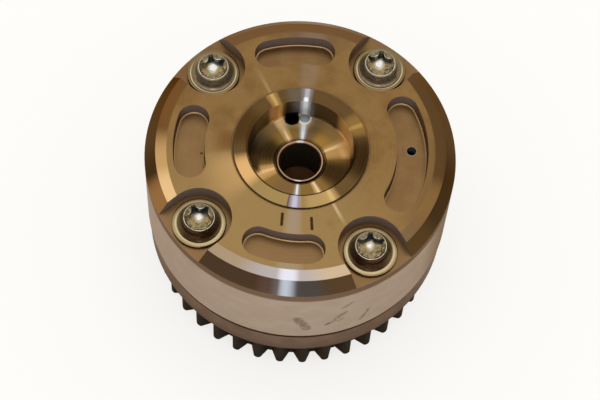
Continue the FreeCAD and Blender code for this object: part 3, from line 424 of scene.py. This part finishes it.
# Painted light and shade: walls facing the near side pale grey, the others dark brown.
wall = (cover.aside * -1.0).rise(0.2, 0.95).paint(tone(92, 66, 44), tone(128, 116, 112))
# Painted highlight: a pale line on the fillets where the pocket floors meet their walls.
corner = z.rise(-3.0, -3.3) * cover.slope.between(0.45, 0.85, 0.1) * r.rise(35.4, 35.0)
# Painted light: the chamfer round the nose's hole coloured lighter and made nearly non-metallic, so that
# the groove there doesn't go black.
mouth_lightened = z.rise(-0.02, -0.1) * r.rise(19.0, 18.9)
past_face = r.rise(35.9, 36.1)
colour = past_face.paint(face, shallow)
past_shallow = r.rise(38.92, 39.05)
colour = past_shallow.paint(colour, steep)
sunk_floor = z.rise(-3.3, -3.6) * cover.slope.rise(0.9, 0.98)
colour = sunk_floor.paint(colour, pressed)
colour = corner.paint(colour, tone(174, 148, 116))
above_slot = z.rise(-4.5, -3.9)
colour = (sides * above_slot).paint(colour, wall)
vent = off_axis(cover, 30.1, 6.3)
vent_edge = vent.between(1.25, 1.5, 0.1) * above_slot
colour = (vent_edge * 0.5).paint(colour, tone(158, 138, 112))
in_vent = vent.rise(1.4, 1.28) * z.rise(-3.6, -4.1)
colour = in_vent.paint(colour, tone(92, 104, 116))
# Painted shade: the cover's rim darker towards its right side.
skirt_shading = (x / r).rise(0.8, 0.99).paint(tone(128, 110, 98), tone(92, 76, 58))
colour = (bare * z.rise(-3.9, -4.05)).paint(colour, skirt_shading)
colour = mouth_lightened.paint(colour, tone(160, 126, 82))
banding = rings.rise(0.4, 0.8) * (0.08 - 0.05 * r.rise(38.9, 39.1))
colour = banding.paint(colour, tone(206, 176, 128))
set_looks(cover, colour=colour, metallic=1.0 - 0.6 * sides - 0.8 * mouth_lightened,
          roughness=0.3 + 0.1 * rings + 0.12 * sides, relief=(rings, 0.003))
wear(cover, "front_cover")

# Cover bolts: four zinc-plated flange bolts with six-lobe sockets in dished heads. They
# clamp the cover and the stator to the chain wheel, each left at its own turn.

BOLT_CIRCLE = 34.2
SEAT_DEPTH = 4.0
LOBE_CENTRE, LOBE_RADIUS, LOBE_REACH = 3.29, 0.65, 10.4
FLUTE_CENTRE, FLUTE_RADIUS = 4.4, 1.61
SOCKET_FLOOR = 1.6
EDGE_BREAK = 0.12
CONE_FOOT, CONE_LEVEL = 3.45, 3.8


def arc_reach(centre, radius, angle, side):
    """How far from the bolt's axis an arc lies, at an angle in degrees off the arc's own centre.

    A side of 1 gives the arc's outer half, as on a lobe, and -1 its inner half, as on a flute.
    """
    swing = math.radians(angle)
    return centre * math.cos(swing) + side * math.sqrt(radius ** 2 - (centre * math.sin(swing)) ** 2)


def socket_radius(turn):
    """The six-lobe outline's radius in mm: round lobes every 60 degrees, and flutes between."""
    off_lobe = (math.degrees(turn) + 30) % 60 - 30
    if abs(off_lobe) < LOBE_REACH:
        return arc_reach(LOBE_CENTRE, LOBE_RADIUS, off_lobe, 1)
    return arc_reach(FLUTE_CENTRE, FLUTE_RADIUS, 30 - abs(off_lobe), -1)


def dish_height(radius):
    """The head's top in mm above its seat: flat in the middle, coned up to the rim."""
    return CONE_LEVEL + max(0.0, radius - CONE_FOOT)


def add_ring(mesh, edges, radius, height):
    """Extrudes a round loop of edges, and sets the new ring's radius and height at every turn."""
    grown = bmesh.ops.extrude_edge_only(mesh, edges=edges)["geom"]
    corners = {item for item in grown if isinstance(item, bmesh.types.BMVert)}
    for corner in corners:
        turn = math.atan2(corner.co.y, corner.co.x)
        reach = radius(turn) if callable(radius) else radius
        rise = height(reach) if callable(height) else height
        corner.co = (reach * math.cos(turn), reach * math.sin(turn), rise)
    return [item for item in grown
            if isinstance(item, bmesh.types.BMEdge) and corners.issuperset(item.verts)]


def add_bolt(name, angle, socket_turn):
    """A flange bolt in mm about its own axis, then turned and moved to its place in the cover."""
    mesh = bmesh.new()
    bmesh.ops.create_circle(mesh, cap_ends=True, cap_tris=True, segments=120, radius=1.9)
    middle = min(mesh.verts, key=lambda corner: corner.co.length)
    for corner in mesh.verts:
        corner.co.z = 1.25 if corner is middle else SOCKET_FLOOR
    edges = [edge for edge in mesh.edges if middle not in edge.verts]
    socket = [(lambda turn: socket_radius(turn) - EDGE_BREAK, SOCKET_FLOOR), (socket_radius, 1.75),
              (socket_radius, lambda reach: dish_height(reach) - EDGE_BREAK),
              (lambda turn: socket_radius(turn) + EDGE_BREAK, dish_height),
              (lambda turn: max(CONE_FOOT, socket_radius(turn) + 0.13), dish_height)]
    # Radius and height in mm of each ring: the crest, the neck, the flange and the shank.
    crest = [(3.86, 4.2), (3.94, 4.28), (4.02, 4.3), (4.1, 4.28), (4.24, 4.18), (4.4, 3.94), (4.52, 3.6)]
    neck = [(4.6, 3.1), (4.6, 2.6), (4.66, 2.2), (4.82, 1.8), (5.06, 1.46), (5.4, 1.18), (5.85, 1.04)]
    flange = [(6.02, 1.08), (6.15, 1.1), (6.9, 1.1), (7.1, 1.02), (7.2, 0.86), (7.2, 0.2), (7.06, 0.0)]
    shank = [(3.1, 0.0), (2.98, -0.1), (2.98, -34.6), (2.6, -35.0)]
    for radius, height in socket + crest + neck + flange + shank:
        edges = add_ring(mesh, edges, radius, height)
    bmesh.ops.holes_fill(mesh, edges=edges, sides=0)
    bmesh.ops.recalc_face_normals(mesh, faces=mesh.faces)
    bmesh.ops.rotate(mesh, matrix=Matrix.Rotation(math.radians(socket_turn), 3, "Z"), verts=mesh.verts)
    offsets = mesh.loops.layers.uv.new("from_own_axis")
    for face in mesh.faces:
        face.smooth = True
        for loop in face.loops:
            loop[offsets].uv = loop.vert.co.xy
    turn = math.radians(angle)
    seat = Vector((BOLT_CIRCLE * math.cos(turn), BOLT_CIRCLE * math.sin(turn),
                   cover_face * MM_PER_METRE - SEAT_DEPTH))
    to_place = Matrix.Scale(1 / MM_PER_METRE, 4) @ Matrix.Translation(seat)
    bmesh.ops.transform(mesh, matrix=to_place, verts=mesh.verts)
    shape = bpy.data.meshes.new(name)
    mesh.to_mesh(shape)
    mesh.free()
    shape.set_sharp_from_angle(angle=math.radians(28))
    bolt = bpy.data.objects.new(name, shape)
    bpy.context.scene.collection.objects.link(bolt)
    shape.materials.append(plated.material)
    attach(bolt, "housing")
    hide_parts("cover_bolts")


plated = new_finish("zinc_plated", cover_face, 1.0, 0.2)
z = plated.z + SEAT_DEPTH
offset = plated.start.node("ShaderNodeUVMap", {"uv_map": "from_own_axis"})
across, up = (plated.start.node("ShaderNodeSeparateXYZ", None, {0: offset}, axis) for axis in (0, 1))
out = (across * across + up * up) ** 0.5
haze = plated.start.noise([plated.x * 0.9, plated.y * 0.9, z * 0.9], 3.0)
# Lower is 1 on the two bolts at the viewer's side, and far is 1 on each bolt's far side.
lower = plated.y.rise(6.0, -6.0)
far = up.rise(-1.0, 4.0)
# Painted light and shade: the two bolts at the viewer's side lighter, their far sides darker, a darker
# outer band and a bright ring on the flange, and painted shade on its side under the lip.
flange = lower.paint(tone(124, 104, 70), tone(182, 162, 122))
flange = (far * lower * 0.7).paint(flange, tone(120, 101, 72))
flange = (out.rise(6.5, 7.1) * 0.6).paint(flange, tone(132, 112, 80))
flange = (out.between(6.1, 6.4, 0.12) * (0.9 - 0.8 * far)).paint(flange, tone(214, 197, 160))
flange = z.rise(0.9, 0.7).paint(flange, tone(92, 76, 74))
# Painted light and shade in the hollow under the head: dark at the viewer's side, lighter on the far side
# and the flanks, with reddish patches on the near side.
hollow = lower.paint(tone(140, 128, 104), tone(52, 38, 22))
hollow = far.paint(hollow, tone(146, 122, 86))
aside = (across * across) ** 0.5
hollow = (aside.rise(3.0, 5.5) * 0.6).paint(hollow, tone(110, 92, 60))
hollow = (haze.rise(0.45, 0.65) * up.rise(0.0, -3.0) * 0.4).paint(hollow, tone(98, 56, 34))
glints = plated.start.noise([across * 1.1, up * 1.1, z * 0.8 + plated.x * 0.5], 3.0, 0.7)
# Painted highlights and reflections on the dish and in the socket: greyer on the far side, bluish dark in
# the far lobes, and a white highlight in the middle.
dish = glints.rise(0.35, 0.65).paint(tone(92, 78, 52), tone(166, 150, 116))
dish = (far * 0.5).paint(dish, tone(112, 104, 84))
socket = glints.rise(0.3, 0.6).paint(tone(78, 68, 48), tone(172, 152, 110))
socket = up.rise(1.2, 2.6).paint(socket, tone(58, 68, 74))
beside, above = across + 0.15, up - 1.2
shine = (beside * beside * 1.5 + above * above) ** 0.5 + glints * 2.6 - 1.3 + lower * 0.4
socket = shine.rise(2.2, 1.2).paint(socket, tone(206, 198, 172))
socket = shine.rise(1.3, 0.8).paint(socket, tone(254, 254, 252))
depth = z - CONE_LEVEL - (out - CONE_FOOT).rise(0.0, 0.8) * 0.8
# Painted highlight: the crest bright on the near side, duller on the far side.
crest = (far * 0.8).paint(tone(236, 230, 218), tone(110, 96, 72))
colour = out.rise(6.0, 5.8).paint(flange, hollow)
colour = (out.rise(4.3, 3.9) * z.rise(3.5, 3.7)).paint(colour, dish)
colour = out.between(3.96, 4.08, 0.05).paint(colour, crest)
bowl = out.rise(3.95, 3.85) * z.rise(3.75, 3.6)
colour = bowl.paint(colour, socket)
# Painted highlight: bright lines on the lobes' top edges.
edge_line = depth.between(-0.5, -0.06, 0.04) * out.rise(3.88, 3.8) * glints.rise(0.3, 0.5)
colour = edge_line.paint(colour, tone(236, 232, 220))
colour = z.rise(0.05, -0.1).paint(colour, tone(150, 142, 120))
set_looks(plated, colour=colour, metallic=1.0 - 0.5 * bowl - 0.4 * out.between(4.3, 5.8, 0.15),
          roughness=0.18 + 0.12 * haze, relief=(haze, 0.003))
# Each bolt's place round the cover and the turn its socket was left at, in degrees.
bolt_turns = [(54, 26), (138, 45), (222, 0), (306, 35)]
for number, (angle, socket_turn) in enumerate(bolt_turns, start=1):
    add_bolt(f"flange_bolt_{number}", angle, socket_turn)

# Table, lamps and camera: a pale table in a white room, a soft box overhead, a low strip
# in front, two warm lamps at the sides and a third beside the camera. The table lies a
# tenth of a millimetre low, so that it never coincides with the part's rear face.

WHITE = tone(254, 253, 251)
TABLE_DROP = 0.0001
table_mesh = bpy.data.meshes.new("table")
table = bpy.data.objects.new("table", table_mesh)
bpy.context.scene.collection.objects.link(table)
top = bmesh.new()
bmesh.ops.create_circle(top, cap_ends=True, segments=64, radius=3.0)
bmesh.ops.translate(top, vec=(0, 0, -TABLE_DROP), verts=top.verts)
top.to_mesh(table_mesh)
top.free()
paper = bpy.data.materials.new("pale_paper")
paper.use_nodes = True
tree = paper.node_tree
tree.nodes.remove(tree.nodes["Principled BSDF"])
sheet = Value(tree)
matt = sheet.node("ShaderNodeBsdfDiffuse", None, {"Color": WHITE})
lit = sheet.node("ShaderNodeEmission", None, {"Color": WHITE, "Strength": 1.0})
seen = sheet.node("ShaderNodeLightPath", output="Is Camera Ray")
shown = sheet.node("ShaderNodeMixShader", None, {0: seen * 0.75, 1: matt, 2: lit})
tree.links.new(shown.socket, tree.nodes["Material Output"].inputs["Surface"])
table_mesh.materials.append(paper)

world = bpy.data.worlds.new("room")
bpy.context.scene.world = world
world.use_nodes = True
air = Value(world.node_tree).node("ShaderNodeBackground", None, {"Color": WHITE, "Strength": 1.0})
world.node_tree.links.new(air.socket, world.node_tree.nodes["World Output"].inputs["Surface"])


LAMP_AIM = Vector((0, 0, 0.04))


def add_lamp(name, direction, distance, size, power, colour):
    """A square area lamp that faces the part from one direction."""
    light = bpy.data.lights.new(name, "AREA")
    light.size, light.energy, light.color = size, power, colour
    lamp = bpy.data.objects.new(name, light)
    bpy.context.scene.collection.objects.link(lamp)
    towards = Vector(direction).normalized()
    lamp.location = LAMP_AIM + towards * distance
    lamp.rotation_euler = towards.to_track_quat("Z", "Y").to_euler()


add_lamp("overhead_box", (-0.01, 0.12, 0.99), 1.0, 0.25, 0.12, (0.95, 0.97, 1.0))
add_lamp("front_strip", (-0.03, -0.961, 0.2755), 0.8, 0.1, 0.03, (0.9, 0.95, 1.0))
add_lamp("left_lamp", (-0.53, 0.16, 0.83), 1.0, 0.12, 0.12, (1.0, 0.86, 0.66))
add_lamp("right_lamp", (0.16, 0.19, 0.97), 1.0, 0.1, 0.08, (1.0, 0.88, 0.72))
add_lamp("camera_lamp", (0.0, -0.45, 0.89), 0.9, 0.1, 0.45, (1.0, 0.92, 0.8))

lens = bpy.data.cameras.new("camera")
lens.sensor_width, lens.lens = 36.0, 116.0514
lens.shift_x, lens.shift_y = 0.003157, -0.000417
lens.clip_start, lens.clip_end = 0.01, 20.0
camera = bpy.data.objects.new("camera", lens)
bpy.context.scene.collection.objects.link(camera)
# The camera's own three axes and where it stands, from the fit to the photograph.
right = (0.99756220, 0.06230725, 0.03142405)
upward = (-0.06978158, 0.89352471, 0.44355848)
back = (-0.00044126, -0.44467000, 0.89569437)
stand = (0.0, -0.242966, cover_face + 0.457770)
camera.matrix_world = Matrix([(right[i], upward[i], back[i], stand[i]) for i in range(3)] + [(0, 0, 0, 1)])
bpy.context.scene.camera = camera
bpy.context.scene.view_settings.view_transform = "Standard"
